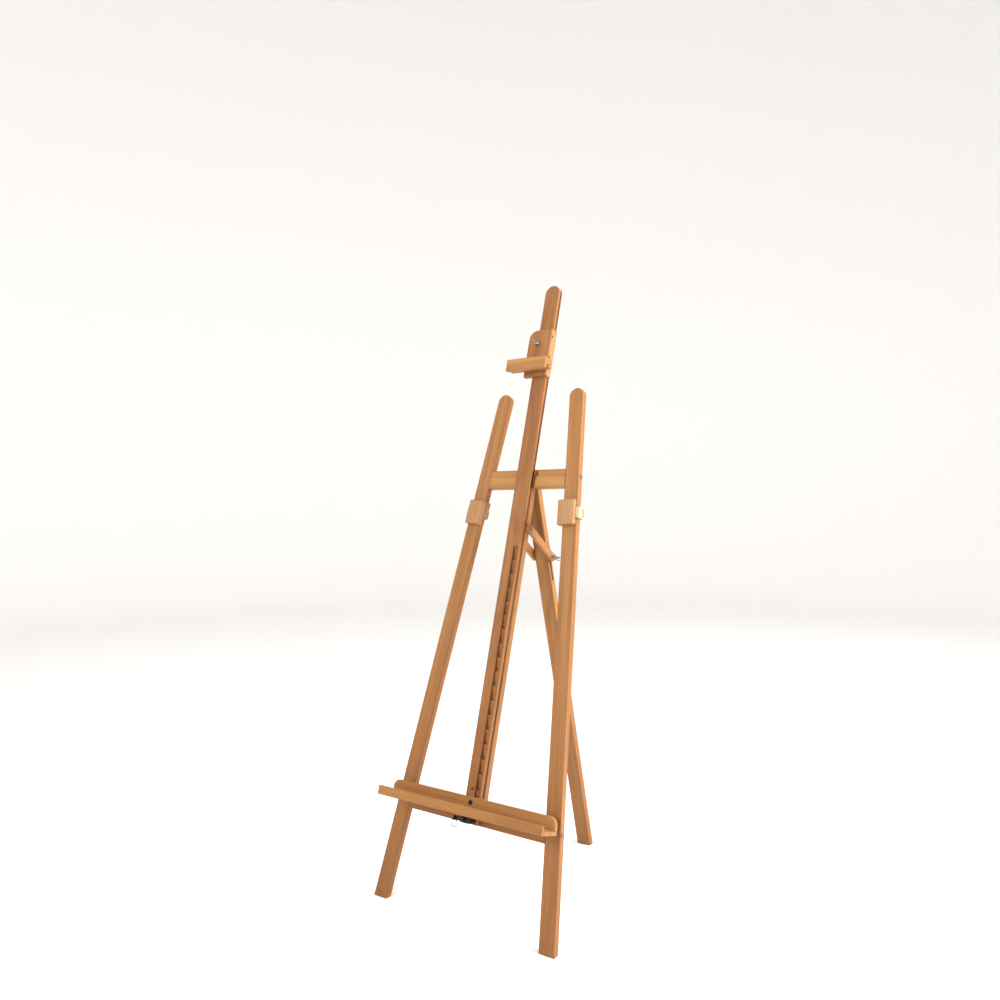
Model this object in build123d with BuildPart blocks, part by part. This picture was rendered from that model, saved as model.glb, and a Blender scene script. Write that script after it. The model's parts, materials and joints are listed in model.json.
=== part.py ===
from build123d import *
from math import atan2, cos, degrees, hypot, radians, sin, tan
import os

os.makedirs("parts", exist_ok=True)

# A folding wooden studio easel: two splayed front legs with a sliding mast between them, and one
# rear leg. Millimetres, +Z up, standing on Z = 0, +X to the right as a painter sees it, front to -Y.
# The front frame leans back, so most sizes are given in its own directions:
#   u across to the right, v up along the frame, w backwards, square to the frame.
# w = 0 is the front face of the front legs.

# ---- driving dimensions -------------------------------------------------------------------------
lean = 16.334
leg_width = 48
leg_depth = 20
leg_splay = 5.75
leg_length = 1571
foot_half_span = 290.7
edge_round = 1.5

crossbar_height = 58
upper_crossbar_v = 1245
lower_crossbar_v = 256

mast_half = 26
mast_front = -20
mast_back = -0.2
mast_bottom = 258
mast_top = 1922
side_groove_depth = 3.5
side_groove_front = -10.2
side_groove_back = -2.8

rack_left = 5
rack_right = 21.5
rack_pitch = 41.4
rack_first_ledge = 270.2
rack_notches = 19
rack_shallow = 4
rack_deep = 11.5

tray_length = 573
tray_bottom = 285.6
tray_top = 331.2
tray_front = -96.8
tray_back = -20.6
tray_board = 12
tray_lip_height = 25.3
tray_lip_thickness = 10

hinge_v = 1272
hinge_w = 32
rear_leg_depth = 22
rear_leg_angle = 13.8
stay_pivot_v = 1119
stay_pivot_w = 10
stay_depth = 24
stay_thickness = 11
stay_gap = 0.5
bolt_radius = 3
running_clearance = 0.06
side_clearance = 0.4

top_clamp_bottom = 1602
top_clamp_top = 1760
clamp_bottom = 1127
clamp_height = 76

# ---- worked out from them -----------------------------------------------------------------------
slope = radians(lean)
splay = radians(leg_splay)
hinge_y = hinge_v * sin(slope) + hinge_w * cos(slope)
hinge_z = hinge_v * cos(slope) + (leg_depth - hinge_w) * sin(slope)
rear_foot_y = hinge_y + hinge_z * tan(radians(rear_leg_angle))
rear_foot_back_y = rear_foot_y + rear_leg_depth / 2 / cos(radians(rear_leg_angle))
tray_front_y = tray_bottom * sin(slope) + tray_front * cos(slope)
middle_y = (rear_foot_back_y + tray_front_y) / 2

stay_length = hypot(hinge_v - stay_pivot_v, hinge_w - stay_pivot_w)
pivot_offset = degrees(atan2(hinge_w - stay_pivot_w, hinge_v - stay_pivot_v))
open_angle = lean + rear_leg_angle
slide_distance = 2 * stay_length * cos(radians(open_angle + pivot_offset))


def place(u, v, w):
    """A point of the leaning front frame in the easel's own axes."""
    y = v * sin(slope) + w * cos(slope) - middle_y
    z = v * cos(slope) + (leg_depth - w) * sin(slope)
    return (u, y, z)


def facing(w):
    """Plane of the frame seen from the front: local x is u, local y is v, extrusion comes forward."""
    return Plane(origin=place(0, 0, w), x_dir=(1, 0, 0), z_dir=(0, -cos(slope), sin(slope)))


def level(v):
    """Plane square to the mast: local x is u, local y is w, extrusion goes up the frame."""
    return Plane(origin=place(0, v, 0), x_dir=(1, 0, 0), z_dir=(0, sin(slope), cos(slope)))


def side(u):
    """Plane seen from the left: local x is w, local y is v, extrusion goes to the right."""
    return Plane(origin=place(u, 0, 0), x_dir=(0, cos(slope), -sin(slope)), z_dir=(1, 0, 0))


def leg_across(hand):
    """Direction across a splayed leg; hand is 1 for the right leg and -1 for the left."""
    return (cos(splay), hand * sin(splay) * sin(slope), hand * sin(splay) * cos(slope))


def leg_facing(hand, w):
    """As facing, but along a splayed leg, from the middle of its foot."""
    return Plane(
        origin=place(hand * foot_half_span, 0, w), x_dir=leg_across(hand), z_dir=(0, -cos(slope), sin(slope))
    )


def leg_side(hand, across):
    """As side, but along a splayed leg, at a distance across it from its centre line."""
    face = leg_facing(hand, 0)
    middle = face.from_local_coords((across, 0, 0))
    return Plane(origin=middle, x_dir=(0, cos(slope), -sin(slope)), z_dir=face.x_dir)


def head_at(plane, x, y, out=1):
    """Plane at a fastener's seat on a plane, pointing the way its head faces."""
    return Plane(origin=plane.from_local_coords((x, y, 0)), x_dir=plane.x_dir, z_dir=plane.z_dir * out)


BELOW = (Align.CENTER, Align.CENTER, Align.MAX)
ABOVE = (Align.CENTER, Align.CENTER, Align.MIN)


def fasteners(seats, shank, length, head, head_height):
    """Round-headed bolts or screws, one on each seat."""
    with Locations(*seats):
        Cylinder(shank / 2, length, align=BELOW)
        Cylinder(head / 2, head_height, align=ABOVE)


def flush_screws(seats, shank, length, head):
    """Countersunk screws, one on each seat."""
    with Locations(*seats):
        Cylinder(shank / 2, length, align=BELOW)
        Cone(shank / 2, head / 2, (head - shank) / 2, align=BELOW)


# ---- fasteners of the fixed frame, made first because the wood is drilled for them ------------------
upper_bolt_v = 1279
lower_bolt_v = 286
bolt_w = leg_depth / 2
bolt_length = 78
bolt_head_height = 3
legs = {"left": -1, "right": 1}


def along_leg(v, across, hand):
    """Distance up a leg's own axis to the height v of the frame, at a distance across the leg."""
    return (v - hand * across * sin(splay)) / cos(splay)


def leg_outer_seat(hand, v):
    outer = leg_side(hand, hand * leg_width / 2)
    return head_at(outer, bolt_w, along_leg(v, hand * leg_width / 2, hand), hand)


with BuildPart() as crossbar_bolts:
    bolt_seats = [leg_outer_seat(hand, v) for hand in legs.values() for v in (upper_bolt_v, lower_bolt_v)]
    fasteners(bolt_seats, 6, bolt_length, 12, bolt_head_height)
    with Locations(*[seat.offset(bolt_head_height) for seat in bolt_seats]):
        Cylinder(3, 1.8, align=BELOW, mode=Mode.SUBTRACT)
crossbar_bolts.part.label = "crossbar_bolts"
export_step(crossbar_bolts.part, "parts/crossbar_bolts.step")

# Dowels beside each bolt, and in both ends of the centre rail.
dowel_radius = 4
dowel_half_length = 16
dowel_spacing = 17
with BuildPart() as frame_dowels:
    for hand in legs.values():
        inner_face = leg_side(hand, -hand * leg_width / 2)
        for v in (upper_crossbar_v, lower_crossbar_v):
            middle = along_leg(v + crossbar_height / 2, -hand * leg_width / 2, hand)
            offsets = (-dowel_spacing, dowel_spacing)
            seats = [head_at(inner_face, bolt_w, middle + offset) for offset in offsets]
            with Locations(*seats):
                Cylinder(dowel_radius, 2 * dowel_half_length)
    for v in (lower_crossbar_v + crossbar_height, upper_crossbar_v):
        with Locations(head_at(level(v), -13, bolt_w), head_at(level(v), 13, bolt_w)):
            Cylinder(dowel_radius, 2 * dowel_half_length)
frame_dowels.part.label = "frame_dowels"
export_step(frame_dowels.part, "parts/frame_dowels.step")

# ---- rear leg's hinge: two angle brackets on the back of the upper crossbar, and a bolt ------------
bracket_inner = leg_width / 2 + 0.3
bracket_sheet = 2.4
bracket_outer = bracket_inner + bracket_sheet
bracket_flange = 40
bracket_bottom = 1250
bracket_top = 1298
bracket_reach = hinge_w + 11
lock_u = 34.5
lock_v = 1290

with BuildPart() as hinge_screws:
    for hand in legs.values():
        flange_back = facing(leg_depth + bracket_sheet)
        seats = [head_at(flange_back, hand * 34, v, -1) for v in (1256, 1273)]
        flush_screws(seats, 4, 17, 8)
hinge_screws.part.label = "hinge_screws"
export_step(hinge_screws.part, "parts/hinge_screws.step")

for name, hand in legs.items():
    with BuildPart() as bracket:
        with BuildSketch(side(hand * bracket_inner)):
            with BuildLine():
                Polyline(
                    (bracket_reach, hinge_v + 11),
                    (leg_depth + 4, bracket_top),
                    (leg_depth, bracket_top),
                    (leg_depth, bracket_bottom),
                    (leg_depth + 4, bracket_bottom),
                    (bracket_reach, hinge_v - 11),
                    close=True,
                )
            make_face()
        extrude(amount=hand * bracket_sheet)
        with BuildSketch(facing(leg_depth + bracket_sheet)):
            with Locations((hand * (bracket_inner + bracket_flange) / 2, (bracket_bottom + bracket_top) / 2)):
                Rectangle(bracket_flange - bracket_inner, bracket_top - bracket_bottom)
        extrude(amount=bracket_sheet)
        with Locations(head_at(side(hand * bracket_inner), hinge_w, hinge_v)):
            Cylinder(bolt_radius + running_clearance, 20, mode=Mode.SUBTRACT)
        with Locations(head_at(facing(leg_depth), hand * lock_u, lock_v)):
            Cylinder(bolt_radius + 0.2, 20, mode=Mode.SUBTRACT)
        add(hinge_screws.part, mode=Mode.SUBTRACT)
    bracket.part.label = f"hinge_bracket_{name}"
    export_step(bracket.part, f"parts/hinge_bracket_{name}.step")

hinge_washer = 1
with BuildPart() as hinge_bolt:
    hinge_head = head_at(side(-bracket_outer), hinge_w, hinge_v, -1)
    fasteners([hinge_head], 2 * bolt_radius, 2 * bracket_outer + 8, 12, 3.5)
hinge_bolt.part.label = "hinge_bolt"
export_step(hinge_bolt.part, "parts/hinge_bolt.step")

with BuildPart() as hinge_nut:
    with BuildSketch(head_at(side(bracket_outer), hinge_w, hinge_v)):
        RegularPolygon(5.8, 6)
        Circle(bolt_radius, mode=Mode.SUBTRACT)
    extrude(amount=5)
hinge_nut.part.label = "hinge_nut"
export_step(hinge_nut.part, "parts/hinge_nut.step")

# ---- mast guides: two steel bars whose lips run in the mast's side grooves ---------------------------
guide_front = -6.9
lip_back = -3.1
guide_width = 5
lip_tip = mast_half - side_groove_depth + side_clearance
guide_top = {"left": upper_crossbar_v + crossbar_height, "right": 1281}

guide_screw_sink = 4
guide_screw_seats = []
for name, hand in legs.items():
    guide_height = guide_top[name] - upper_crossbar_v
    for share in (0.25, 0.75):
        seat_v = upper_crossbar_v + share * guide_height
        guide_screw_seats.append(head_at(facing(leg_depth - guide_screw_sink), hand * 29, seat_v, -1))
with BuildPart() as guide_screws:
    fasteners(guide_screw_seats, 3, 21, 6, 2.5)
guide_screws.part.label = "guide_screws"
export_step(guide_screws.part, "parts/guide_screws.step")

for name, hand in legs.items():
    with BuildPart() as guide:
        with BuildSketch(level(upper_crossbar_v)):
            with BuildLine():
                outer = mast_half + side_clearance + guide_width
                Polyline(
                    (hand * lip_tip, guide_front),
                    (hand * outer, guide_front),
                    (hand * outer, 0),
                    (hand * (mast_half + side_clearance), 0),
                    (hand * (mast_half + side_clearance), lip_back),
                    (hand * lip_tip, lip_back),
                    close=True,
                )
            make_face()
        extrude(amount=guide_top[name] - upper_crossbar_v)
        add(guide_screws.part, mode=Mode.SUBTRACT)
    guide.part.label = f"mast_guide_{name}"
    export_step(guide.part, f"parts/mast_guide_{name}.step")

# The hook that a thumb knob behind the crossbar draws back against the mast.
hook_height = 14
hook_back = -0.3
lock_end_w = 44
with BuildPart() as mast_lock_hook:
    with BuildSketch(level(lock_v - hook_height / 2)):
        with BuildLine():
            Polyline(
                (lip_tip, guide_front),
                (lock_u + 4, guide_front),
                (lock_u + 4, hook_back),
                (mast_half + side_clearance, hook_back),
                (mast_half + side_clearance, lip_back),
                (lip_tip, lip_back),
                close=True,
            )
        make_face()
    extrude(amount=hook_height)
    with Locations(head_at(facing(hook_back), lock_u, lock_v)):
        Cylinder(bolt_radius, lock_end_w - hook_back, align=BELOW)
mast_lock_hook.part.label = "mast_lock_hook"
export_step(mast_lock_hook.part, "parts/mast_lock_hook.step")


def thumb_knob(seat, radius, height, bore, flutes):
    """A round grip with flutes, a collar under it and a bore."""
    with BuildPart() as knob:
        with BuildSketch(seat):
            Circle(radius * 0.7)
        extrude(amount=height * 0.3)
        with BuildSketch(seat.offset(height * 0.3)):
            Circle(radius)
            with PolarLocations(radius * 1.12, flutes):
                Circle(radius * 0.22, mode=Mode.SUBTRACT)
        extrude(amount=height * 0.7)
        fillet(knob.faces().sort_by(Axis(seat.origin, seat.z_dir))[-1].outer_wire().edges(), radius * 0.08)
        with Locations(seat):
            Cylinder(bore, height * 3, mode=Mode.SUBTRACT)
    return knob


lock_knob_seat = head_at(facing(leg_depth + bracket_sheet + 0.3), lock_u, lock_v, -1)
mast_lock_knob = thumb_knob(lock_knob_seat, 6.5, 15, bolt_radius + running_clearance, 8)
mast_lock_knob.part.label = "mast_lock_knob"
export_step(mast_lock_knob.part, "parts/mast_lock_knob.step")

# ---- fixed frame ---------------------------------------------------------------------------------
for name, hand in legs.items():
    with BuildPart() as leg:
        with BuildSketch(leg_facing(hand, leg_depth)):
            with Locations((0, (leg_length - leg_width / 2) / 2 - leg_depth)):
                Rectangle(leg_width, leg_length - leg_width / 2 + 2 * leg_depth)
            with Locations((0, leg_length - leg_width / 2)):
                Circle(leg_width / 2)
        extrude(amount=leg_depth)
        split(bisect_by=Plane.XY, keep=Keep.TOP)
        fillet(leg.edges().filter_by(lambda edge: edge.length > leg_length / 2), edge_round)
        add(crossbar_bolts.part, mode=Mode.SUBTRACT)
        add(frame_dowels.part, mode=Mode.SUBTRACT)
    leg.part.label = f"{name}_leg"
    export_step(leg.part, f"parts/{name}_leg.step")


def leg_inner_edge(v):
    return foot_half_span - v * tan(splay) - leg_width / 2 / cos(splay)


for name, bottom in {"upper": upper_crossbar_v, "lower": lower_crossbar_v}.items():
    top = bottom + crossbar_height
    with BuildPart() as crossbar:
        with BuildSketch(facing(leg_depth)):
            Polygon(
                (-leg_inner_edge(bottom), bottom),
                (leg_inner_edge(bottom), bottom),
                (leg_inner_edge(top), top),
                (-leg_inner_edge(top), top),
                align=None,
            )
        extrude(amount=leg_depth)
        fillet(crossbar.edges().filter_by(Axis.X), edge_round)
        for fastener in (crossbar_bolts, frame_dowels, hinge_screws, guide_screws):
            add(fastener.part, mode=Mode.SUBTRACT)
        with Locations(head_at(facing(leg_depth), lock_u, lock_v)):
            Cylinder(bolt_radius + 0.2, 3 * leg_depth, mode=Mode.SUBTRACT)
        with Locations(*guide_screw_seats):
            Cylinder(3.05, guide_screw_sink, align=ABOVE, mode=Mode.SUBTRACT)
    crossbar.part.label = f"{name}_crossbar"
    export_step(crossbar.part, f"parts/{name}_crossbar.step")

with BuildPart() as centre_rail:
    rail_bottom = lower_crossbar_v + crossbar_height
    with BuildSketch(facing(leg_depth)):
        with Locations((0, (rail_bottom + upper_crossbar_v) / 2)):
            Rectangle(2 * mast_half, upper_crossbar_v - rail_bottom)
    extrude(amount=leg_depth)
    fillet(centre_rail.edges().filter_by(lambda edge: edge.length > 500), edge_round)
    add(frame_dowels.part, mode=Mode.SUBTRACT)
    with Locations(head_at(side(0), stay_pivot_w, stay_pivot_v)):
        Cylinder(bolt_radius + running_clearance, 3 * mast_half, mode=Mode.SUBTRACT)
centre_rail.part.label = "centre_rail"
export_step(centre_rail.part, "parts/centre_rail.step")

# ---- rear leg and the stay that holds it open --------------------------------------------------------
rear_slope = radians(rear_leg_angle)
rear_leg_side = Plane(
    origin=place(0, hinge_v, hinge_w), x_dir=(0, cos(rear_slope), sin(rear_slope)), z_dir=(1, 0, 0)
)
rear_leg_reach = hinge_z / cos(rear_slope)
slot_start = 205
slot_end = 319
slot_half = bolt_radius + 0.4

with BuildPart() as rear_leg:
    with BuildSketch(rear_leg_side.offset(-leg_width / 2)):
        with Locations((0, -rear_leg_reach / 2 - leg_depth)):
            Rectangle(rear_leg_depth, rear_leg_reach + 2 * leg_depth)
        Circle(rear_leg_depth / 2)
    extrude(amount=leg_width)
    split(bisect_by=Plane.XY, keep=Keep.TOP)
    fillet(rear_leg.edges().filter_by(lambda edge: edge.length > rear_leg_reach / 2), edge_round)
    with BuildSketch(rear_leg_side.offset(-leg_width)):
        with Locations((0, -(slot_start + slot_end) / 2)):
            SlotOverall(slot_end - slot_start, 2 * slot_half, rotation=90)
    extrude(amount=2 * leg_width, mode=Mode.SUBTRACT)
    with Locations(rear_leg_side):
        Cylinder(bolt_radius + running_clearance, 2 * leg_width, mode=Mode.SUBTRACT)
rear_leg.part.label = "rear_leg"
export_step(rear_leg.part, "parts/rear_leg.step")

slide_pin = rear_leg_side.from_local_coords((0, -slide_distance, 0))
stay_pivot = Vector(*place(0, stay_pivot_v, stay_pivot_w))
stay_direction = slide_pin - stay_pivot
stay_inner = mast_half + stay_gap
stay_outer = stay_inner + stay_thickness


def stay_plane(u):
    """Side plane with its local x along the stay, from its pivot in the rail."""
    return Plane(origin=(u, stay_pivot.Y, stay_pivot.Z), x_dir=stay_direction, z_dir=(1, 0, 0))


with BuildPart() as stay_pivot_bolt:
    fasteners(
        [head_at(stay_plane(-stay_outer - hinge_washer), 0, 0, -1)],
        2 * bolt_radius, 2 * stay_outer + 2 * hinge_washer + 6, 12, 3.5,
    )
stay_pivot_bolt.part.label = "stay_pivot_bolt"
export_step(stay_pivot_bolt.part, "parts/stay_pivot_bolt.step")

with BuildPart() as stay_pivot_nut:
    with BuildSketch(stay_plane(stay_outer + hinge_washer)):
        RegularPolygon(5.8, 6)
        Circle(bolt_radius, mode=Mode.SUBTRACT)
    extrude(amount=5)
stay_pivot_nut.part.label = "stay_pivot_nut"
export_step(stay_pivot_nut.part, "parts/stay_pivot_nut.step")

for name, hand in legs.items():
    with BuildPart() as stay_arm:
        with BuildSketch(stay_plane(hand * stay_inner)):
            with Locations((stay_length / 2, 0)):
                SlotCenterToCenter(stay_length, stay_depth)
            with Locations((0, 0), (stay_length, 0)):
                Circle(bolt_radius + running_clearance, mode=Mode.SUBTRACT)
        extrude(amount=hand * stay_thickness)
        chamfer(stay_arm.edges().filter_by(lambda edge: edge.length > stay_length / 2), 1)
    stay_arm.part.label = f"stay_arm_{name}"
    export_step(stay_arm.part, f"parts/stay_arm_{name}.step")

stay_bolt_end = stay_outer + 25
with BuildPart() as stay_slide_bolt:
    fasteners(
        [head_at(stay_plane(-stay_outer - hinge_washer), stay_length, 0, -1)],
        2 * bolt_radius, stay_outer + hinge_washer + stay_bolt_end, 13, 3.5,
    )
stay_slide_bolt.part.label = "stay_slide_bolt"
export_step(stay_slide_bolt.part, "parts/stay_slide_bolt.step")

with BuildPart() as stay_washers:
    for seat in (stay_plane(-stay_outer - hinge_washer), stay_plane(stay_outer)):
        with BuildSketch(head_at(seat, stay_length, 0)):
            Circle(9)
            Circle(bolt_radius, mode=Mode.SUBTRACT)
        extrude(amount=hinge_washer)
stay_washers.part.label = "stay_washers"
export_step(stay_washers.part, "parts/stay_washers.step")


def wing_head(seat):
    """Coned hub with two swept wings along the seat's local x; the seat points out of the nut's face."""
    across = Plane(origin=seat.origin, x_dir=seat.x_dir, z_dir=seat.y_dir)
    up = 1 if across.y_dir.dot(seat.z_dir) > 0 else -1
    with BuildPart() as head:
        with Locations(seat):
            Cone(7, 5.2, 9.5, align=ABOVE)
        with BuildSketch(across):
            for turn in (-1, 1):
                with BuildLine():
                    start = (turn * 4.2, up * 1)
                    foot = (turn * 8.5, up * 1.5)
                    tip = (turn * 17.5, up * 13.5)
                    crown = (turn * 12, up * 16)
                    crotch = (turn * 4.2, up * 9)
                    Line(start, foot)
                    Line(foot, tip)
                    ThreePointArc(tip, (turn * 15.6, up * 16.6), crown)
                    Line(crown, crotch)
                    Line(crotch, start)
                make_face()
        extrude(amount=1.5, both=True)
    return head


stay_nut_seat = head_at(stay_plane(stay_outer + hinge_washer + 0.1), stay_length, 0)
with BuildPart() as stay_wing_nut:
    add(wing_head(stay_nut_seat).part)
    with Locations(stay_nut_seat):
        Cylinder(bolt_radius + running_clearance, 60, mode=Mode.SUBTRACT)
stay_wing_nut.part.label = "stay_wing_nut"
export_step(stay_wing_nut.part, "parts/stay_wing_nut.step")

# ---- mast ----------------------------------------------------------------------------------------
with BuildPart() as mast_stop_screw:
    flush_screws([head_at(facing(mast_front), -6, 352)], 3.5, 14, 7)
mast_stop_screw.part.label = "mast_stop_screw"
export_step(mast_stop_screw.part, "parts/mast_stop_screw.step")

with BuildPart() as mast:
    with BuildSketch(facing(mast_back)):
        with Locations((0, (mast_bottom + mast_top - mast_half) / 2)):
            Rectangle(2 * mast_half, mast_top - mast_half - mast_bottom)
        with Locations((0, mast_top - mast_half)):
            Circle(mast_half)
    extrude(amount=mast_back - mast_front)
    fillet(mast.edges().filter_by(lambda edge: edge.length > 1000), edge_round)
    groove_middle = (side_groove_front + side_groove_back) / 2
    with BuildSketch(level(mast_bottom - 10)):
        with Locations((-mast_half, groove_middle), (mast_half, groove_middle)):
            Rectangle(2 * side_groove_depth, side_groove_back - side_groove_front)
    extrude(amount=mast_top, mode=Mode.SUBTRACT)
    with BuildSketch(side(rack_left)):
        for notch in range(-1, rack_notches):
            ledge = rack_first_ledge + notch * rack_pitch
            Polygon(
                (mast_front - 5, ledge),
                (mast_front + rack_deep, ledge),
                (mast_front + rack_shallow, ledge + rack_pitch),
                (mast_front - 5, ledge + rack_pitch),
                align=None,
            )
    extrude(amount=rack_right - rack_left, mode=Mode.SUBTRACT)
    add(mast_stop_screw.part, mode=Mode.SUBTRACT)
mast.part.label = "mast"
export_step(mast.part, "parts/mast.step")

# ---- tray: base board, front lip and back board, keyed to the mast's side grooves --------------------
board_front = tray_back - tray_board
base_top = tray_bottom + tray_board
cheek_inner = mast_half + side_clearance
cheek_outer = 42
cheek_back = -9.8
keeper_back = -7.4
keeper_bottom = 290
keeper_top = 326

with BuildPart() as tray_screws:
    base_seats = [head_at(level(tray_bottom), u, tray_back - 6, -1) for u in (-240, -90, 90, 240)]
    flush_screws(base_seats, 3.5, 30, 7)
    keeper_seats = [
        head_at(facing(keeper_back), hand * 35, v, -1) for hand in legs.values() for v in (299, 317)
    ]
    flush_screws(keeper_seats, 3.5, 20, 7)
tray_screws.part.label = "tray_screws"
export_step(tray_screws.part, "parts/tray_screws.step")

tension_u = 4
tension_v = 316
with BuildPart() as tray_tension_screw:
    with Locations(head_at(facing(board_front + 2.5), tension_u, tension_v)):
        Cylinder(2.5, tray_board - 2.5 + 0.3, align=BELOW)
        Cylinder(6, 3, align=ABOVE)
        with Locations((0, 0, 3)):
            Box(8, 1.4, 3, mode=Mode.SUBTRACT)
tray_tension_screw.part.label = "tray_tension_screw"
export_step(tray_tension_screw.part, "parts/tray_tension_screw.step")

# Four short screws hold the latch housing's ears under the base board.
pawl_u = (rack_left + rack_right) / 2
with BuildPart() as latch_screws:
    ear_bottom = level(tray_bottom - 2)
    corners = [(across, w) for across in (-16, 16) for w in (-54, -31)]
    with Locations(*[head_at(ear_bottom, pawl_u + across, w, -1) for across, w in corners]):
        Cylinder(1.75, 11, align=BELOW)
        Cylinder(3.5, 2, align=ABOVE)
latch_screws.part.label = "latch_screws"
export_step(latch_screws.part, "parts/latch_screws.step")

with BuildPart() as tray_bottom_board:
    with BuildSketch(level(tray_bottom)):
        with Locations((0, (tray_front + tray_lip_thickness + tray_back) / 2)):
            Rectangle(tray_length, tray_back - tray_front - tray_lip_thickness)
    extrude(amount=tray_board)
    add(tray_screws.part, mode=Mode.SUBTRACT)
    add(latch_screws.part, mode=Mode.SUBTRACT)
tray_bottom_board.part.label = "tray_bottom_board"
export_step(tray_bottom_board.part, "parts/tray_bottom_board.step")

with BuildPart() as tray_front_lip:
    with BuildSketch(side(-tray_length / 2)):
        with Locations((tray_front + tray_lip_thickness / 2, tray_bottom + tray_lip_height / 2)):
            Rectangle(tray_lip_thickness, tray_lip_height)
    extrude(amount=tray_length)
    fillet(tray_front_lip.edges().filter_by(Axis.X), 1.2)
tray_front_lip.part.label = "tray_front_lip"
export_step(tray_front_lip.part, "parts/tray_front_lip.step")

board_corner = 22
with BuildPart() as tray_back_board:
    with BuildSketch(facing(tray_back)) as board_outline:
        with Locations((0, (base_top + tray_top) / 2)):
            Rectangle(tray_length, tray_top - base_top)
        fillet(board_outline.vertices().sort_by(Axis.Y)[-2:], board_corner)
    extrude(amount=tray_board)
    fillet(tray_back_board.faces().sort_by(Axis.Y)[0].edges().sort_by(Axis.Z)[1:], 1.2)
    with Locations(head_at(facing(board_front), tension_u, tension_v)):
        Cylinder(7, 2.5, align=BELOW, mode=Mode.SUBTRACT)
    add(tray_screws.part, mode=Mode.SUBTRACT)
    add(tray_tension_screw.part, mode=Mode.SUBTRACT)
tray_back_board.part.label = "tray_back_board"
export_step(tray_back_board.part, "parts/tray_back_board.step")

for name, hand in legs.items():
    with BuildPart() as cheek:
        with BuildSketch(level(tray_bottom + 1)):
            with Locations((hand * (cheek_inner + cheek_outer) / 2, (tray_back + cheek_back) / 2)):
                Rectangle(cheek_outer - cheek_inner, cheek_back - tray_back)
        extrude(amount=tray_top - tray_bottom - 3)
        add(tray_screws.part, mode=Mode.SUBTRACT)
    cheek.part.label = f"tray_cheek_{name}"
    export_step(cheek.part, f"parts/tray_cheek_{name}.step")

    with BuildPart() as keeper:
        with BuildSketch(level(keeper_bottom)):
            with Locations((hand * (lip_tip + cheek_outer) / 2, (cheek_back + keeper_back) / 2)):
                Rectangle(cheek_outer - lip_tip, keeper_back - cheek_back)
        extrude(amount=keeper_top - keeper_bottom)
        add(tray_screws.part, mode=Mode.SUBTRACT)
    keeper.part.label = f"tray_keeper_{name}"
    export_step(keeper.part, f"parts/tray_keeper_{name}.step")

# ---- latch under the tray: a sprung pawl that stands on the rack's ledges, drawn out by a ring -------
pawl_width = 12.5
pawl_bottom = rack_first_ledge + 0.3
pawl_height = 8
pawl_v = pawl_bottom + pawl_height / 2
pawl_tip = -11
pawl_shoulder = -30
rod_radius = 2.5
rod_front = -74
house_front = -62
house_back = -23
chamber_front = -58
chamber_back = -27
house_bottom = 264
house_half = 12.3
chamber_half = 8
arm_sheet = 3
eye_u = -10
eye_v = 270.8
eye_w = -77
eye_radius = 1.7

with BuildPart() as latch_housing:
    with BuildSketch(facing(house_back)):
        with Locations((pawl_u, (house_bottom + tray_bottom) / 2)):
            Rectangle(2 * house_half, tray_bottom - house_bottom)
        with Locations((pawl_u, tray_bottom - 1)):
            Rectangle(2 * house_half + 16, 2)
    extrude(amount=house_back - house_front)
    with BuildSketch(facing(chamber_back)):
        with Locations((pawl_u, pawl_v)):
            Rectangle(2 * chamber_half, 13)
    extrude(amount=chamber_back - chamber_front, mode=Mode.SUBTRACT)
    with BuildSketch(facing(house_back + 1)):
        with Locations((pawl_u, pawl_v)):
            Rectangle(pawl_width + 0.3, pawl_height + 0.4)
    extrude(amount=house_back - chamber_back + 2, mode=Mode.SUBTRACT)
    with Locations(head_at(facing(house_front), pawl_u, pawl_v)):
        Cylinder(rod_radius + 0.08, 20, mode=Mode.SUBTRACT)
    add(latch_screws.part, mode=Mode.SUBTRACT)
latch_housing.part.label = "latch_housing"
export_step(latch_housing.part, "parts/latch_housing.step")

with BuildPart() as latch_pawl:
    with BuildSketch(side(pawl_u - pawl_width / 2)):
        Polygon(
            (pawl_shoulder, pawl_bottom),
            (pawl_tip, pawl_bottom),
            (pawl_tip, pawl_bottom + 3),
            (pawl_tip - 5, pawl_bottom + pawl_height),
            (pawl_shoulder, pawl_bottom + pawl_height),
            align=None,
        )
    extrude(amount=pawl_width)
    with Locations(head_at(facing(pawl_shoulder), pawl_u, pawl_v)):
        Cylinder(rod_radius, pawl_shoulder - rod_front, align=ABOVE)
    with BuildSketch(facing(rod_front + arm_sheet)):
        with Locations(((pawl_u + 4 + eye_u - 3) / 2, pawl_v)):
            Rectangle(pawl_u + 4 - eye_u + 3, 11)
    extrude(amount=arm_sheet)
    with BuildSketch(side(eye_u - 1.25)):
        with Locations(((eye_w - 4 + rod_front + 1) / 2, (eye_v - 3.8 + pawl_v + 5.5) / 2)):
            Rectangle(rod_front + 1 - eye_w + 4, pawl_v + 5.5 - eye_v + 3.8)
    extrude(amount=2.5)
    with Locations(head_at(side(eye_u), eye_w, eye_v)):
        Cylinder(eye_radius, 8, mode=Mode.SUBTRACT)
latch_pawl.part.label = "latch_pawl"
export_step(latch_pawl.part, "parts/latch_pawl.step")

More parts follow.
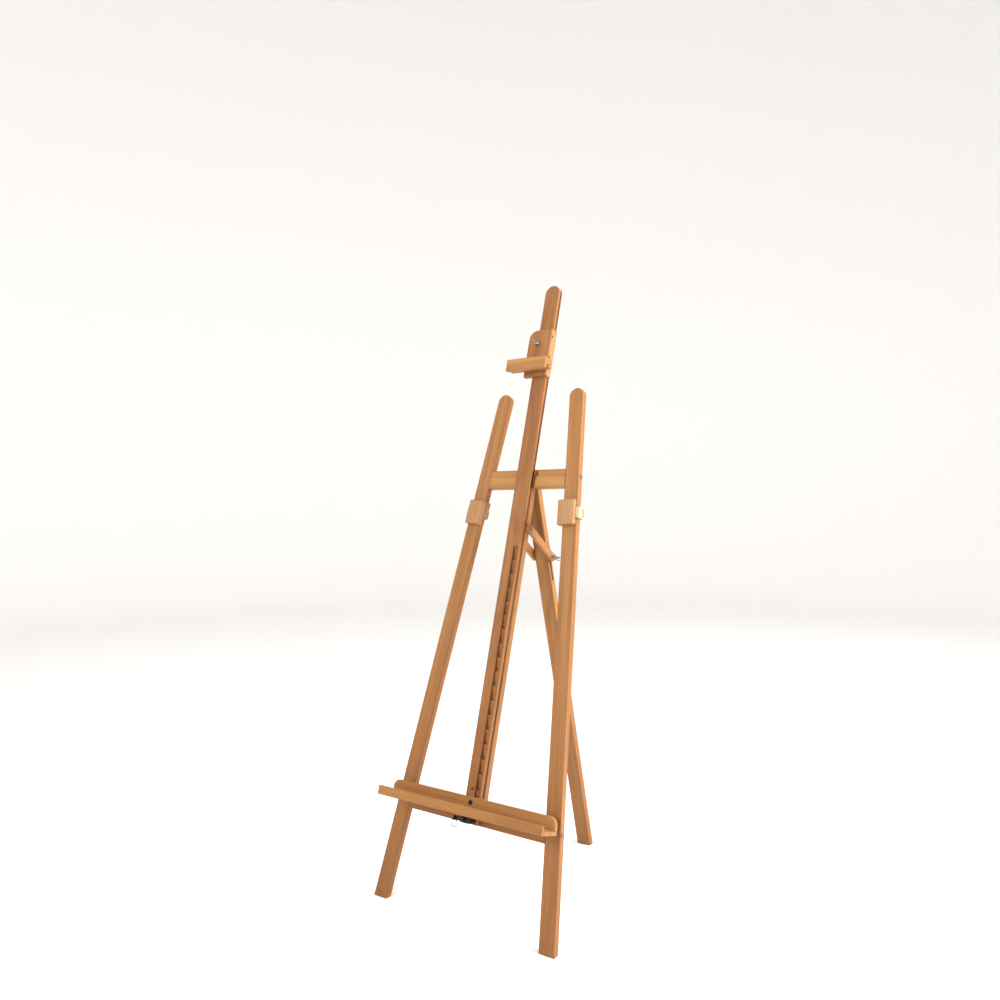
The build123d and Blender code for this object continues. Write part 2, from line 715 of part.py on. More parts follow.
spring_radius = 4.2
spring_wire = 0.5
spring_length = pawl_shoulder - chamber_front - 2 * spring_wire - 0.2
spring_seat = head_at(facing(pawl_shoulder - spring_wire - 0.1), pawl_u, pawl_v)
with BuildPart() as latch_spring:
    with BuildLine() as coil:
        turn_pitch = spring_length / 7
        middle = spring_seat.origin
        Helix(turn_pitch, spring_length, spring_radius, center=middle, direction=spring_seat.z_dir)
    with BuildSketch(Plane(origin=coil.line @ 0, z_dir=coil.line % 0)):
        Circle(spring_wire)
    sweep(is_frenet=True)
latch_spring.part.label = "latch_spring"
export_step(latch_spring.part, "parts/latch_spring.step")

ring_radius = 11.2
ring_wire = 0.9
ring_top = Vector(*place(eye_u, eye_v, eye_w))
with BuildPart() as pull_ring:
    ring_plane = Plane(origin=ring_top - Vector(0, 0, ring_radius), x_dir=(1, 0, 0), z_dir=(0, -1, 0))
    with Locations(ring_plane):
        Torus(ring_radius, ring_wire)
pull_ring.part.label = "pull_ring"
export_step(pull_ring.part, "parts/pull_ring.step")

# ---- top clamp: a plate on the mast with a cheek, a pinching jaw and a lip for the canvas ------------
plate_back = mast_front - 0.4
plate_thickness = 13.6
plate_front = plate_back - plate_thickness
plate_left = -50
plate_corner = 28
top_cheek_outer = 33
top_cheek_back = -6
wing_screw_u = -15
wing_screw_v = 1713
wing_screw_turn = -35
left_cheek_outer = 40
left_cheek_bottom = 1670
left_cheek_top = 1740
batten_left = -95
batten_right = 50
batten_bottom = 1612
batten_height = 38
batten_front = -72

with BuildPart() as top_clamp_screws:
    seats = [head_at(side(top_cheek_outer), plate_back - plate_thickness / 2, v) for v in (1665, 1735)]
    flush_screws(seats, 3.5, 24, 7)
    left_middle = -(cheek_inner + left_cheek_outer) / 2
    seats = [head_at(facing(top_cheek_back), left_middle, v, -1) for v in (1685, 1725)]
    flush_screws(seats, 3.5, 22, 7)
    with Locations(head_at(side(batten_right), (batten_front + plate_front) / 2, batten_bottom + 13)):
        Cylinder(2, 30, align=BELOW)
        Cylinder(3.6, 1.2, align=BELOW)
    flush_screws([head_at(facing(plate_back), u, batten_bottom + 20, -1) for u in (-36, 12)], 4, 40, 8)
top_clamp_screws.part.label = "top_clamp_screws"
export_step(top_clamp_screws.part, "parts/top_clamp_screws.step")

with BuildPart() as top_clamp_plate:
    with BuildSketch(facing(plate_back)) as plate_outline:
        with Locations(((plate_left + cheek_inner) / 2, (top_clamp_bottom + top_clamp_top) / 2)):
            Rectangle(cheek_inner - plate_left, top_clamp_top - top_clamp_bottom)
        fillet(plate_outline.vertices().group_by(Axis.X)[0].sort_by(Axis.Y)[-1], plate_corner)
    extrude(amount=plate_thickness)
    with Locations(head_at(facing(plate_back), wing_screw_u, wing_screw_v)):
        Cylinder(bolt_radius + running_clearance, 60, mode=Mode.SUBTRACT)
    add(top_clamp_screws.part, mode=Mode.SUBTRACT)
top_clamp_plate.part.label = "top_clamp_plate"
export_step(top_clamp_plate.part, "parts/top_clamp_plate.step")

cheeks = {
    "right": (1, plate_front, top_cheek_outer, top_clamp_bottom, top_clamp_top),
    "left": (-1, plate_back, left_cheek_outer, left_cheek_bottom, left_cheek_top),
}
for name, (hand, front, outer, bottom, top) in cheeks.items():
    with BuildPart() as cheek:
        with BuildSketch(level(bottom)):
            with BuildLine():
                Polyline(
                    (hand * cheek_inner, front),
                    (hand * outer, front),
                    (hand * outer, top_cheek_back),
                    (hand * lip_tip, top_cheek_back),
                    (hand * lip_tip, cheek_back),
                    (hand * cheek_inner, cheek_back),
                    close=True,
                )
            make_face()
        extrude(amount=top - bottom)
        add(top_clamp_screws.part, mode=Mode.SUBTRACT)
    cheek.part.label = f"top_clamp_cheek_{name}"
    export_step(cheek.part, f"parts/top_clamp_cheek_{name}.step")

with BuildPart() as top_clamp_batten:
    with BuildSketch(side(batten_left)):
        with BuildLine():
            Polyline(
                (plate_front, batten_bottom + batten_height),
                (batten_front, batten_bottom + batten_height),
                (batten_front, batten_bottom),
                (batten_front + 11, batten_bottom),
                (batten_front + 11, batten_bottom + 7),
                (plate_front, batten_bottom + 7),
                close=True,
            )
        make_face()
    extrude(amount=batten_right - batten_left)
    fillet(top_clamp_batten.edges().filter_by(Axis.X).group_by(Axis.Y)[0], 1.5)
    add(top_clamp_screws.part, mode=Mode.SUBTRACT)
top_clamp_batten.part.label = "top_clamp_batten"
export_step(top_clamp_batten.part, "parts/top_clamp_batten.step")

# The wing screw goes through the plate and presses on the mast's face.
wing_turn = radians(wing_screw_turn)
wing_screw_seat = Plane(
    origin=place(wing_screw_u, wing_screw_v, plate_front - 1.5),
    x_dir=(cos(wing_turn), sin(wing_turn) * sin(slope), sin(wing_turn) * cos(slope)),
    z_dir=facing(plate_front).z_dir,
)
with BuildPart() as top_clamp_wing_screw:
    add(wing_head(wing_screw_seat).part)
    with Locations(wing_screw_seat):
        Cylinder(bolt_radius, plate_thickness + 1.5 + 0.3, align=BELOW)
top_clamp_wing_screw.part.label = "top_clamp_wing_screw"
export_step(top_clamp_wing_screw.part, "parts/top_clamp_wing_screw.step")

# ---- side clamps: a plate before each front leg, two side blocks, a steel strap behind and a knob ----
plate_inner = 31
plate_outer = 21
side_plate_front = -19
side_plate_back = -0.3
leg_gap = leg_width / 2 + side_clearance
block_outer = 32
strap_front = leg_depth + 0.4
strap_back = strap_front + 3
inner_block_bottom = clamp_bottom + 24
inner_block_top = clamp_bottom + 77
outer_block_bottom = clamp_bottom + 20
outer_block_top = clamp_bottom + 54
strap_bottom = clamp_bottom + 27
strap_top = clamp_bottom + 49

for name, hand in legs.items():
    inward = -hand
    up_leg = along_leg(clamp_bottom, 0, hand) - clamp_bottom
    strap_v = (strap_bottom + strap_top) / 2 + up_leg

    with BuildPart() as clamp_screws:
        strap_plane = leg_facing(hand, strap_back)
        flush_screws([head_at(strap_plane, inward * 27.7, strap_v, -1)], 3.2, 34, 5.4)
        flush_screws([head_at(strap_plane, -inward * 28, strap_v, -1)], 3.2, 22, 6)
    clamp_screws.part.label = f"{name}_clamp_screws"
    export_step(clamp_screws.part, f"parts/{name}_clamp_screws.step")

    with BuildPart() as clamp_plate:
        with BuildSketch(leg_facing(hand, side_plate_back)):
            middle = clamp_bottom + up_leg + clamp_height / 2
            with Locations((inward * (plate_inner - plate_outer) / 2, middle)):
                Rectangle(plate_inner + plate_outer, clamp_height)
        extrude(amount=side_plate_back - side_plate_front)
        chamfer(clamp_plate.faces().sort_by(Axis.Y)[0].edges(), 1.2)
        add(clamp_screws.part, mode=Mode.SUBTRACT)
    clamp_plate.part.label = f"{name}_clamp_plate"
    export_step(clamp_plate.part, f"parts/{name}_clamp_plate.step")

    with BuildPart() as inner_block:
        with BuildSketch(leg_facing(hand, strap_front)):
            middle = (inner_block_bottom + inner_block_top) / 2 + up_leg
            with Locations((inward * (leg_gap + plate_inner) / 2, middle)):
                Rectangle(plate_inner - leg_gap, inner_block_top - inner_block_bottom)
        extrude(amount=strap_front - side_plate_back)
        add(clamp_screws.part, mode=Mode.SUBTRACT)
    inner_block.part.label = f"{name}_clamp_inner_block"
    export_step(inner_block.part, f"parts/{name}_clamp_inner_block.step")

    with BuildPart() as outer_block:
        middle = (outer_block_bottom + outer_block_top) / 2 + up_leg
        height = outer_block_top - outer_block_bottom
        with BuildSketch(leg_facing(hand, strap_front)):
            with Locations((-inward * (leg_gap + block_outer) / 2, middle)):
                Rectangle(block_outer - leg_gap, height)
        extrude(amount=strap_front + 7)
        with BuildSketch(leg_facing(hand, side_plate_back)):
            with Locations((-inward * (plate_outer + leg_gap) / 2, middle)):
                Rectangle(leg_gap - plate_outer, height)
        extrude(amount=side_plate_back + 7)
        add(clamp_screws.part, mode=Mode.SUBTRACT)
    outer_block.part.label = f"{name}_clamp_outer_block"
    export_step(outer_block.part, f"parts/{name}_clamp_outer_block.step")

    with BuildPart() as clamp_strap:
        with BuildSketch(leg_facing(hand, strap_back)):
            with Locations((inward * (plate_inner - block_outer) / 2, strap_v)):
                Rectangle(plate_inner + block_outer, strap_top - strap_bottom)
        extrude(amount=strap_back - strap_front)
        with Locations(head_at(leg_facing(hand, strap_back), 0, strap_v)):
            Cylinder(bolt_radius + running_clearance, 20, mode=Mode.SUBTRACT)
        add(clamp_screws.part, mode=Mode.SUBTRACT)
    clamp_strap.part.label = f"{name}_clamp_strap"
    export_step(clamp_strap.part, f"parts/{name}_clamp_strap.step")

    with BuildPart() as clamp_knob:
        seat = head_at(leg_facing(hand, strap_back + 0.4), 0, strap_v, -1)
        with Locations(seat):
            Cylinder(bolt_radius, strap_back - strap_front + 0.7, align=BELOW)
            Cylinder(5, 3, align=ABOVE)
        with BuildSketch(seat.offset(3)):
            Circle(9)
            with PolarLocations(10.1, 6):
                Circle(2, mode=Mode.SUBTRACT)
        extrude(amount=10)
    clamp_knob.part.label = f"{name}_clamp_knob"
    export_step(clamp_knob.part, f"parts/{name}_clamp_knob.step")
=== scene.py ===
import bpy
import bmesh
import json
import math
from mathutils import Matrix, Vector

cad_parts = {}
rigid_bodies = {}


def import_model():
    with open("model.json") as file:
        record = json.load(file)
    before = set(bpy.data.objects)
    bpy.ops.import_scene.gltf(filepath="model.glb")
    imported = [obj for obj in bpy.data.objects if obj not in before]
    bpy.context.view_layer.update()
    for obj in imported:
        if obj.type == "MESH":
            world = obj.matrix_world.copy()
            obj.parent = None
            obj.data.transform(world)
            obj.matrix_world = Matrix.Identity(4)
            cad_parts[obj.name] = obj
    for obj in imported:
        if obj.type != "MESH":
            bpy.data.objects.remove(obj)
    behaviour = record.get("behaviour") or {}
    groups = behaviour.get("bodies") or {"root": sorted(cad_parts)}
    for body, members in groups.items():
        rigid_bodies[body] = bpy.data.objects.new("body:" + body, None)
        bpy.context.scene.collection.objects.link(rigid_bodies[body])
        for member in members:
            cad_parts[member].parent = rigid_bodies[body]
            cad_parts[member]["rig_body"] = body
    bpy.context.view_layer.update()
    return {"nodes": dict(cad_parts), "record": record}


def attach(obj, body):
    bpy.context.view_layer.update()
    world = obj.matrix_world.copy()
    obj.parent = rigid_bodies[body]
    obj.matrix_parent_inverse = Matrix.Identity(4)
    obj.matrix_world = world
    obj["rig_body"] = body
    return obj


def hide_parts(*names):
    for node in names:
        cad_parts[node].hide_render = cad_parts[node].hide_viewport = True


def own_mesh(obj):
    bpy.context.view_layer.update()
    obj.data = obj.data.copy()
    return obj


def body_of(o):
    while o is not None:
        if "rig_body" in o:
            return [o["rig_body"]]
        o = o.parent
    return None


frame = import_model()
nodes = frame["nodes"]
record = frame["record"]
joints = {joint["name"]: joint for joint in record["behaviour"]["joints"]}
mounts = {mount["name"]: mount for mount in record["mounts"]}

# ---- directions of the easel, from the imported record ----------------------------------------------
ACROSS = Vector((1, 0, 0))
UP_FRAME = Vector(joints["mast_slide"]["axis"]).normalized()
OUT_FRONT = Vector(joints["latch_pull"]["axis"]).normalized()
LEG_AXIS = {side: Vector(joints[f"{side}_clamp_slide"]["axis"]).normalized() for side in ("left", "right")}
REAR_HINGE = Vector(joints["rear_leg_fold"]["pos_m"])
STAY_PIVOT = Vector(joints["stay_swing"]["pos_m"])
STAY_PIN = Vector(joints["stay_wing_nut_turn"]["pos_m"])
REAR_AXIS = (REAR_HINGE - Vector(mounts["rear_foot"]["pos_m"])).normalized()
STAY_AXIS = Vector((0, STAY_PIN.y - STAY_PIVOT.y, STAY_PIN.z - STAY_PIVOT.z)).normalized()


# ---- camera ----------------------------------------------------------------------------------------
def make_camera():
    """Stands in front and to the right at chest height, looking level."""
    place = Vector((1.50631, -2.18504, 1.15975))
    heading = 0.6315
    tilt_up = 0.0016
    tilt_sideways = -0.0097
    data = bpy.data.cameras.new("camera")
    data.lens = 31.126
    data.sensor_width = 36
    camera = bpy.data.objects.new("camera", data)
    bpy.context.scene.collection.objects.link(camera)
    turn = Matrix.Rotation(heading, 4, "Z") @ Matrix.Rotation(math.pi / 2 + tilt_up, 4, "X")
    roll = Matrix.Rotation(tilt_sideways, 4, "Z")
    camera.matrix_world = Matrix.Translation(place) @ turn @ roll
    bpy.context.scene.camera = camera


# ---- studio ----------------------------------------------------------------------------------------
def join_rings(mesh, first, second):
    """Faces between two rings of as many vertices."""
    for turn in range(len(first)):
        after = (turn + 1) % len(first)
        mesh.faces.new((first[turn], second[turn], second[after], first[after]))


def make_stage():
    """A round pale floor that curves up into a wall, so every view has the same plain backdrop."""
    floor_radius = 7.0
    curve_radius = 2.2
    wall_height = 11.0
    profile = [(0.0, 0.0), (floor_radius, 0.0)]
    curve_steps = 12
    for step in range(1, curve_steps + 1):
        angle = math.pi / 2 * step / curve_steps
        out = floor_radius + curve_radius * math.sin(angle)
        profile.append((out, curve_radius * (1 - math.cos(angle))))
    profile.append((floor_radius + curve_radius, wall_height))
    turns = 96
    mesh = bmesh.new()
    rings = []
    centre = mesh.verts.new((0, 0, 0))
    for radius, height in profile[1:]:
        ring = []
        for turn in range(turns):
            angle = 2 * math.pi * turn / turns
            ring.append(mesh.verts.new((radius * math.cos(angle), radius * math.sin(angle), height)))
        rings.append(ring)
    for turn in range(turns):
        mesh.faces.new((centre, rings[0][turn], rings[0][(turn + 1) % turns]))
    for low, high in zip(rings, rings[1:]):
        join_rings(mesh, low, high)
    bmesh.ops.recalc_face_normals(mesh, faces=mesh.faces)
    data = bpy.data.meshes.new("studio_floor")
    mesh.to_mesh(data)
    mesh.free()
    for polygon in data.polygons:
        polygon.use_smooth = True
    floor = bpy.data.objects.new("studio_floor", data)
    bpy.context.scene.collection.objects.link(floor)
    material = bpy.data.materials.new("studio_floor")
    material.use_nodes = True
    shader = material.node_tree.nodes["Principled BSDF"]
    shader.inputs["Base Color"].default_value = (0.93, 0.925, 0.915, 1)
    shader.inputs["Roughness"].default_value = 0.9
    shader.inputs["Specular IOR Level"].default_value = 0.1
    data.materials.append(material)


def area_light(name, place, target, size, power, colour):
    """A round soft light that faces its target."""
    data = bpy.data.lights.new(name, "AREA")
    data.shape = "DISK"
    data.size = size
    data.energy = power
    data.color = colour
    light = bpy.data.objects.new(name, data)
    bpy.context.scene.collection.objects.link(light)
    light.location = place
    light.rotation_euler = (Vector(target) - Vector(place)).to_track_quat("-Z", "Y").to_euler()


def make_lights():
    """A warm key from the right, a soft fill from the front and a light overhead."""
    middle = (0, 0, 0.9)
    area_light("key_right", (4.2, 0.4, 2.6), middle, 2.0, 330, (1.0, 0.97, 0.93))
    area_light("fill_front", (-0.8, -4.6, 3.0), middle, 2.6, 120, (1.0, 0.98, 0.96))
    area_light("top", (0.4, 0.4, 4.8), (0, 0, 0), 3.0, 90, (1.0, 1.0, 1.0))
    world = bpy.data.worlds.new("studio")
    bpy.context.scene.world = world
    world.use_nodes = True
    background = world.node_tree.nodes["Background"]
    background.inputs["Color"].default_value = (1.0, 0.99, 0.98, 1)
    background.inputs["Strength"].default_value = 0.75
    bpy.context.scene.view_settings.view_transform = "Standard"


# ---- node tree helpers ------------------------------------------------------------------------------
class Tree:
    """Short calls for building a material's nodes."""

    def __init__(self, name):
        self.material = bpy.data.materials.new(name)
        self.material.use_nodes = True
        self.tree = self.material.node_tree
        self.shader = self.tree.nodes["Principled BSDF"]

    def add(self, kind, **settings):
        node = self.tree.nodes.new(kind)
        for key, value in settings.items():
            setattr(node, key, value)
        return node

    def put(self, socket, value):
        if isinstance(value, bpy.types.NodeSocket):
            self.tree.links.new(value, socket)
        elif value is not None:
            socket.default_value = value

    def math(self, operation, first, second=None, clamp=False):
        node = self.add("ShaderNodeMath", operation=operation, use_clamp=clamp)
        self.put(node.inputs[0], first)
        self.put(node.inputs[1], second)
        return node.outputs[0]

    def dot(self, vector, direction):
        node = self.add("ShaderNodeVectorMath", operation="DOT_PRODUCT")
        self.put(node.inputs[0], vector)
        node.inputs[1].default_value = direction
        return node.outputs["Value"]

    def combine(self, x, y, z):
        node = self.add("ShaderNodeCombineXYZ")
        for socket, value in zip(node.inputs, (x, y, z)):
            self.put(socket, value)
        return node.outputs[0]

    def noise(self, vector, scale, detail=3.0, rough=0.5):
        node = self.add("ShaderNodeTexNoise")
        self.put(node.inputs["Vector"], vector)
        node.inputs["Scale"].default_value = scale
        node.inputs["Detail"].default_value = detail
        node.inputs["Roughness"].default_value = rough
        return node.outputs["Fac"]

    def span(self, value, low, high, new_low=0.0, new_high=1.0):
        node = self.add("ShaderNodeMapRange")
        self.put(node.inputs["Value"], value)
        ends = {"From Min": low, "From Max": high, "To Min": new_low, "To Max": new_high}
        for key, number in ends.items():
            node.inputs[key].default_value = number
        return node.outputs[0]

    def ramp(self, value, stops):
        node = self.add("ShaderNodeValToRGB")
        self.put(node.inputs[0], value)
        points = node.color_ramp.elements
        while len(points) < len(stops):
            points.new(0.5)
        for point, (position, colour) in zip(points, stops):
            point.position = position
            point.color = (*colour, 1)
        return node.outputs[0]

    def mix(self, share, first, second, blend="MIX"):
        node = self.add("ShaderNodeMix", data_type="RGBA", blend_type=blend)
        self.put(node.inputs["Factor"], share)
        self.put(node.inputs["A"], (*first, 1) if isinstance(first, tuple) else first)
        self.put(node.inputs["B"], (*second, 1) if isinstance(second, tuple) else second)
        return node.outputs["Result"]

    def arris(self, radius):
        """(normal, agreement): the rounded normal, and how far it agrees with the face's own."""
        bevel = self.add("ShaderNodeBevel", samples=4)
        bevel.inputs["Radius"].default_value = radius
        geometry = self.add("ShaderNodeNewGeometry")
        agree = self.add("ShaderNodeVectorMath", operation="DOT_PRODUCT")
        self.put(agree.inputs[0], bevel.outputs[0])
        self.put(agree.inputs[1], geometry.outputs["Normal"])
        return bevel.outputs[0], agree.outputs["Value"]

    def bump(self, height, strength, distance, normal=None):
        node = self.add("ShaderNodeBump")
        node.inputs["Strength"].default_value = strength
        node.inputs["Distance"].default_value = distance
        self.put(node.inputs["Height"], height)
        self.put(node.inputs["Normal"], normal)
        return node.outputs[0]


# ---- beech -------------------------------------------------------------------------------------------
BEECH = {
    # darkest streak, middle, lightest
    "frame": ((0.200, 0.078, 0.016), (0.325, 0.140, 0.038), (0.430, 0.215, 0.074)),
    "mast": ((0.170, 0.058, 0.012), (0.290, 0.118, 0.032), (0.385, 0.175, 0.056)),
    "tray": ((0.255, 0.108, 0.024), (0.400, 0.190, 0.052), (0.500, 0.265, 0.090)),
    "clamp": ((0.190, 0.074, 0.020), (0.300, 0.122, 0.036), (0.390, 0.182, 0.062)),
    "plate": ((0.290, 0.138, 0.050), (0.390, 0.208, 0.090), (0.480, 0.285, 0.138)),
    "block": ((0.430, 0.290, 0.165), (0.530, 0.390, 0.250), (0.620, 0.490, 0.340)),
}


def beech(name, along, across, tone, seed):
    """Oiled beech sawn from a solid log: rings about an offset heart, ray flecks and fine fibres."""
    t = Tree(name)
    along = Vector(along).normalized()
    across = (Vector(across) - along * Vector(across).dot(along)).normalized()
    deep = along.cross(across)
    coords = t.add("ShaderNodeTexCoord")
    point = coords.outputs["Object"]
    shift = Vector((math.sin(seed * 1.7), math.cos(seed * 2.3), math.sin(seed * 0.9)))
    x = t.math("ADD", t.dot(point, across), shift.x * 0.7)
    y = t.math("ADD", t.dot(point, deep), shift.y * 0.7)
    z = t.math("ADD", t.dot(point, along), shift.z * 3.0)

    # slow wander of the grain along the board
    drift = t.noise(t.combine(x, y, t.math("MULTIPLY", z, 0.55)), 2.6, 2.0)
    drift = t.math("MULTIPLY", t.math("SUBTRACT", drift, 0.5), 0.05)
    wx = t.math("ADD", x, drift)
    wy = t.math("ADD", y, t.math("MULTIPLY", drift, 0.6))

    # year rings about a heart that lies outside the board
    heart_x = shift.x * 0.7 + 0.05 * math.cos(seed * 3.1)
    heart_y = shift.y * 0.7 + 0.09 + 0.03 * math.sin(seed * 5.3)
    dx = t.math("SUBTRACT", wx, heart_x)
    dy = t.math("SUBTRACT", wy, heart_y)
    radius = t.math("SQRT", t.math("ADD", t.math("MULTIPLY", dx, dx), t.math("MULTIPLY", dy, dy)))
    wobble = t.noise(t.combine(wx, wy, t.math("MULTIPLY", z, 0.2)), 14.0, 2.0)
    ring_width = 0.0042
    phase = t.math("MULTIPLY", radius, 2 * math.pi / ring_width)
    phase = t.math("ADD", phase, t.math("MULTIPLY", wobble, 5.0))
    ring = t.math("MULTIPLY", t.math("ADD", t.math("SINE", phase), 1.0), 0.5)
    ring = t.math("POWER", ring, 3.0)

    streak = t.noise(t.combine(wx, wy, t.math("MULTIPLY", z, 0.022)), 75.0, 4.0, 0.6)
    broad = t.noise(t.combine(wx, wy, t.math("MULTIPLY", z, 0.06)), 16.0, 2.0, 0.5)
    fibre = t.noise(t.combine(wx, wy, t.math("MULTIPLY", z, 0.02)), 1100.0, 2.0, 0.6)
    patch = t.noise(point, 5.0, 3.0, 0.55)

    fleck = t.add("ShaderNodeTexVoronoi", feature="F1", distance="EUCLIDEAN")
    t.put(fleck.inputs["Vector"], t.combine(wx, wy, t.math("MULTIPLY", z, 0.17)))
    fleck.inputs["Scale"].default_value = 520.0
    fleck = t.span(fleck.outputs["Distance"], 0.20, 0.34, 1.0, 0.0)

    tone_at = t.math("ADD", t.math("MULTIPLY", streak, 0.55), t.math("MULTIPLY", broad, 0.45))
    colour = t.ramp(t.span(tone_at, 0.33, 0.67), list(zip((0.0, 0.5, 1.0), BEECH[tone])))
    colour = t.mix(t.math("MULTIPLY", ring, 0.42), colour, BEECH[tone][0], "MIX")
    colour = t.mix(t.span(fibre, 0.35, 0.65, 0.16, 0.0), colour, (0.16, 0.052, 0.015))
    colour = t.mix(t.math("MULTIPLY", fleck, 0.22), colour, (0.24, 0.080, 0.024))
    colour = t.mix(t.span(patch, 0.35, 0.70, 0.0, 0.16), colour, BEECH[tone][2])

    # painted shade: the colour darkens toward the feet, standing in for less light reaching the lower
    # parts
    low = t.span(t.dot(point, (0, 0, 1)), 0.02, 0.75, 0.45, 0.0)
    colour = t.mix(low, colour, (0.190, 0.062, 0.011))

    # end grain drinks more oil and is darker
    facing_end = t.math("ABSOLUTE", t.dot(coords.outputs["Normal"], along))
    end = t.span(facing_end, 0.80, 0.97, 0.0, 0.38)
    colour = t.mix(end, colour, (0.25, 0.095, 0.032))

    # rounded arrises, where the oil has gathered and darkened
    rounded, agreement = t.arris(0.0030)
    edge = t.span(agreement, 0.995, 0.90, 0.0, 1.0)
    stain = t.math("MULTIPLY", edge, t.span(t.noise(point, 55.0, 3.0), 0.35, 0.60, 0.35, 0.85), clamp=True)
    colour = t.mix(stain, colour, (0.085, 0.028, 0.009))

    t.put(t.shader.inputs["Base Color"], colour)
    rough = t.math("ADD", t.span(fibre, 0.3, 0.7, 0.05, -0.03), t.span(patch, 0.3, 0.7, 0.40, 0.52))
    t.put(t.shader.inputs["Roughness"], rough)
    t.shader.inputs["Specular IOR Level"].default_value = 0.30
    t.shader.inputs["Coat Weight"].default_value = 0.06
    t.shader.inputs["Coat Roughness"].default_value = 0.32
    height = t.math("ADD", t.math("MULTIPLY", fibre, 0.6), t.math("MULTIPLY", ring, -0.25))
    height = t.math("ADD", height, t.math("MULTIPLY", fleck, -0.5))
    t.put(t.shader.inputs["Normal"], t.bump(height, 0.28, 0.00035, rounded))
    return t.material


def grain_of(name):
    """(along, across, tone) of a wooden node."""
    if name in ("left_leg", "right_leg"):
        return LEG_AXIS[name.split("_")[0]], ACROSS, "frame"
    if name == "upper_crossbar":
        return ACROSS, UP_FRAME, "tray"
    # painted shade: the lower crossbar takes the mast's darker wood, a real tone, chosen so its strip
    # under the tray reads as shaded
    if name == "lower_crossbar":
        return ACROSS, UP_FRAME, "mast"
    if name == "centre_rail":
        return UP_FRAME, ACROSS, "frame"
    if name == "rear_leg":
        return REAR_AXIS, ACROSS, "frame"
    if name.startswith("stay_arm"):
        return STAY_AXIS, ACROSS, "frame"
    if name == "mast":
        return UP_FRAME, ACROSS, "mast"
    if name in ("tray_bottom_board", "tray_front_lip", "tray_back_board"):
        return ACROSS, UP_FRAME, "tray"
    if name.startswith("tray_cheek"):
        return UP_FRAME, ACROSS, "tray"
    if name == "top_clamp_batten":
        return ACROSS, UP_FRAME, "tray"
    if name in ("top_clamp_cheek_left", "top_clamp_cheek_right"):
        return UP_FRAME, ACROSS, "plate"
    if name == "top_clamp_plate":
        return UP_FRAME, ACROSS, "clamp"
    if name.endswith("clamp_plate") or name == "left_clamp_inner_block":
        return LEG_AXIS[name.split("_")[0]], ACROSS, "plate"
    if name.endswith("_block"):
        return LEG_AXIS[name.split("_")[0]], ACROSS, "block"
    if name == "frame_dowels":
        return ACROSS, UP_FRAME, "block"
    return None


# ---- metals and plastic --------------------------------------------------------------------------------
def metal(name, colour, spots, rough, scratch_axis, worn=0.4):
    """Plated or blackened steel: drawn scratches, clouded plating, dirt, and brighter worn edges."""
    t = Tree(name)
    point = t.add("ShaderNodeTexCoord").outputs["Object"]
    cloud = t.noise(point, 130.0, 4.0, 0.6)
    speck = t.noise(point, 900.0, 2.0, 0.6)
    stretched = t.add("ShaderNodeVectorMath", operation="MULTIPLY")
    t.put(stretched.inputs[0], point)
    stretched.inputs[1].default_value = tuple(1.0 if axis else 0.03 for axis in scratch_axis)
    scratch = t.noise(stretched.outputs[0], 2600.0, 2.0, 0.7)
    base = t.mix(t.span(cloud, 0.38, 0.66), colour, spots)
    base = t.mix(t.span(speck, 0.62, 0.74, 0.0, 0.5), base, tuple(part * 0.45 for part in colour))
    rounded, agreement = t.arris(0.0005)
    edge = t.span(agreement, 0.98, 0.85, 0.0, worn)
    base = t.mix(t.math("MULTIPLY", edge, t.span(cloud, 0.4, 0.6), clamp=True), base, (0.62, 0.60, 0.56))
    t.put(t.shader.inputs["Base Color"], base)
    t.shader.inputs["Metallic"].default_value = 1.0
    t.put(t.shader.inputs["Roughness"], t.span(scratch, 0.3, 0.7, rough - 0.07, rough + 0.10))
    height = t.math("ADD", t.math("MULTIPLY", scratch, 0.5), t.math("MULTIPLY", cloud, 0.5))
    t.put(t.shader.inputs["Normal"], t.bump(height, 0.18, 0.0002, rounded))
    return t.material


def plastic(name):
    """Black moulded plastic with a fine spark-eroded texture and dusty patches."""
    t = Tree(name)
    point = t.add("ShaderNodeTexCoord").outputs["Object"]
    grain = t.noise(point, 1500.0, 3.0, 0.65)
    dust = t.noise(point, 90.0, 4.0, 0.6)
    colour = t.mix(t.span(dust, 0.45, 0.75, 0.0, 0.6), (0.012, 0.011, 0.010), (0.045, 0.040, 0.036))
    t.put(t.shader.inputs["Base Color"], colour)
    t.put(t.shader.inputs["Roughness"], t.span(dust, 0.3, 0.7, 0.38, 0.58))
    t.put(t.shader.inputs["Normal"], t.bump(grain, 0.25, 0.00015))
    return t.material


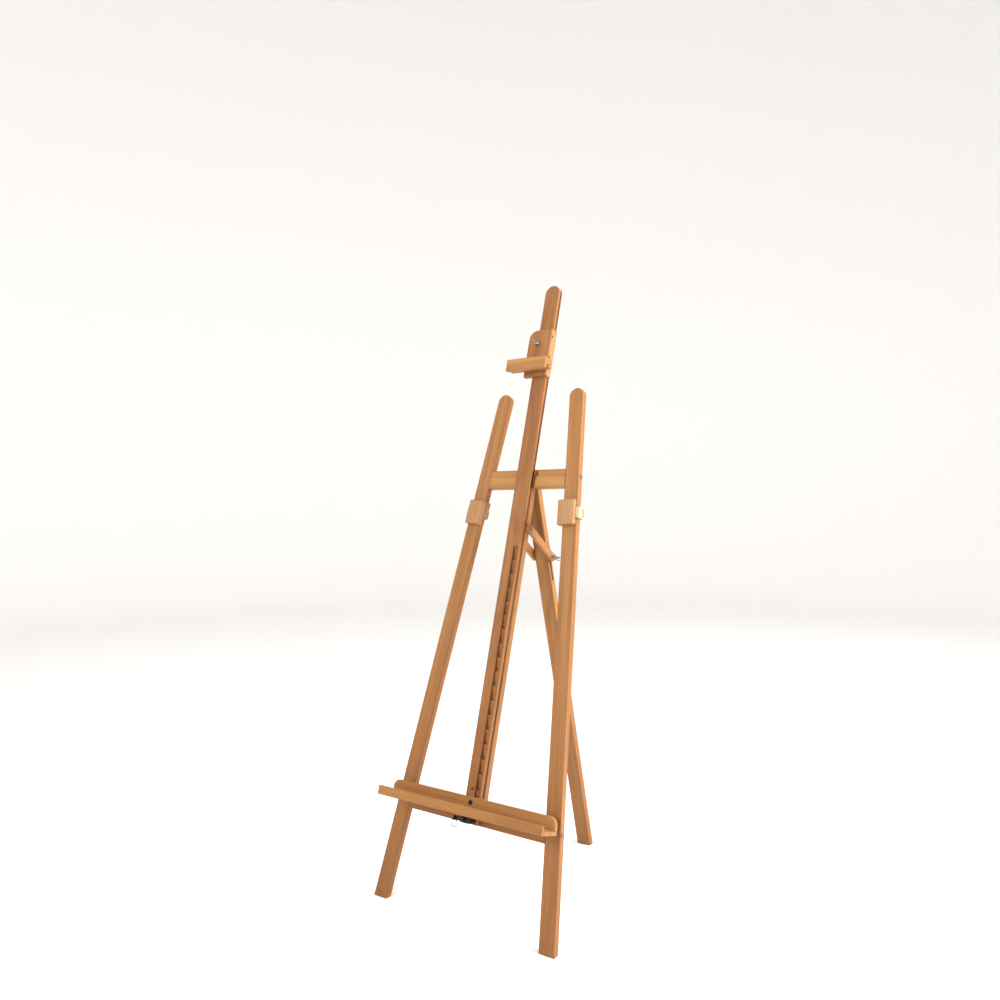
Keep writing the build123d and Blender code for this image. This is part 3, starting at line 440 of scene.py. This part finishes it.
def finish_cad_nodes():
    """Gives each CAD node its material, and returns the spring's steel."""
    slots = {part["node"]: part["material_slot"] for part in record["subparts"]}
    shared = {
        "zinc_steel": metal("zinc_steel", (0.40, 0.38, 0.34), (0.25, 0.235, 0.21), 0.32, (1, 1, 0)),
        "dark_steel": metal("dark_steel", (0.055, 0.045, 0.038), (0.028, 0.024, 0.022), 0.44, (1, 0, 1)),
        "spring_steel": metal("spring_steel", (0.34, 0.33, 0.31), (0.24, 0.23, 0.22), 0.28, (0, 1, 1)),
        "black_plastic": plastic("black_plastic"),
    }
    bronze = metal("bronze_lacquer", (0.24, 0.10, 0.045), (0.15, 0.06, 0.026), 0.42, (1, 0, 1), 0.1)
    by_name = {"mast_guide_left": bronze, "mast_guide_right": bronze, "mast_lock_hook": bronze}
    wire_colours = ((0.030, 0.026, 0.022), (0.018, 0.016, 0.014))
    by_name["pull_ring"] = metal("black_wire", *wire_colours, 0.5, (0, 1, 1), 0.0)
    for number, (name, thing) in enumerate(sorted(nodes.items())):
        grain = grain_of(name)
        if grain:
            along, across, tone = grain
            material = beech(f"beech_{name}", along, across, tone, number + 1)
        else:
            material = by_name.get(name, shared[slots[name]])
        if not thing.material_slots:
            thing.data.materials.append(material)
        for place in thing.material_slots:
            place.material = material
    return shared["spring_steel"]


def make_latch_spring(steel):
    """The pawl's return spring, coiled from round wire."""
    cad = nodes["latch_spring"]
    points = [cad.matrix_world @ vertex.co for vertex in cad.data.vertices]

    def reach(direction):
        along = [point.dot(direction) for point in points]
        return min(along), max(along)

    back, front = reach(OUT_FRONT)
    left, right = reach(ACROSS)
    low, high = reach(UP_FRAME)
    wire = 0.0005
    coil = (right - left) / 2 - wire
    centre = ACROSS * ((left + right) / 2) + UP_FRAME * ((low + high) / 2)
    turns = 8
    steps = 28
    sides = 10
    open_length = front - back - 6 * wire

    def height(turn):
        """Closed first and last turns, and open turns of even pitch between them."""
        if turn < 1:
            return wire + 2 * wire * turn
        if turn > turns - 1:
            return front - back - wire - 2 * wire * (turns - turn)
        return 3 * wire + open_length * (turn - 1) / (turns - 2)

    mesh = bmesh.new()
    rings = []
    for step in range(turns * steps + 1):
        angle = 2 * math.pi * step / steps
        outward = ACROSS * math.cos(angle) + UP_FRAME * math.sin(angle)
        middle = centre + OUT_FRONT * (back + height(step / steps)) + outward * coil
        ring = []
        for side in range(sides):
            around = 2 * math.pi * side / sides
            offset = outward * math.cos(around) + OUT_FRONT * math.sin(around)
            ring.append(mesh.verts.new(middle + offset * wire))
        rings.append(ring)
    for first, second in zip(rings, rings[1:]):
        join_rings(mesh, first, second)
    mesh.faces.new(rings[0])
    mesh.faces.new(rings[-1])
    bmesh.ops.recalc_face_normals(mesh, faces=mesh.faces)
    data = bpy.data.meshes.new("coiled_spring")
    mesh.to_mesh(data)
    mesh.free()
    data.materials.append(steel)
    for polygon in data.polygons:
        polygon.use_smooth = len(polygon.vertices) == 4
    spring = bpy.data.objects.new("coiled_spring", data)
    bpy.context.scene.collection.objects.link(spring)
    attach(spring, body_of(cad)[0])
    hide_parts("latch_spring")
    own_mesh(spring)


make_camera()
make_stage()
make_lights()
make_latch_spring(finish_cad_nodes())
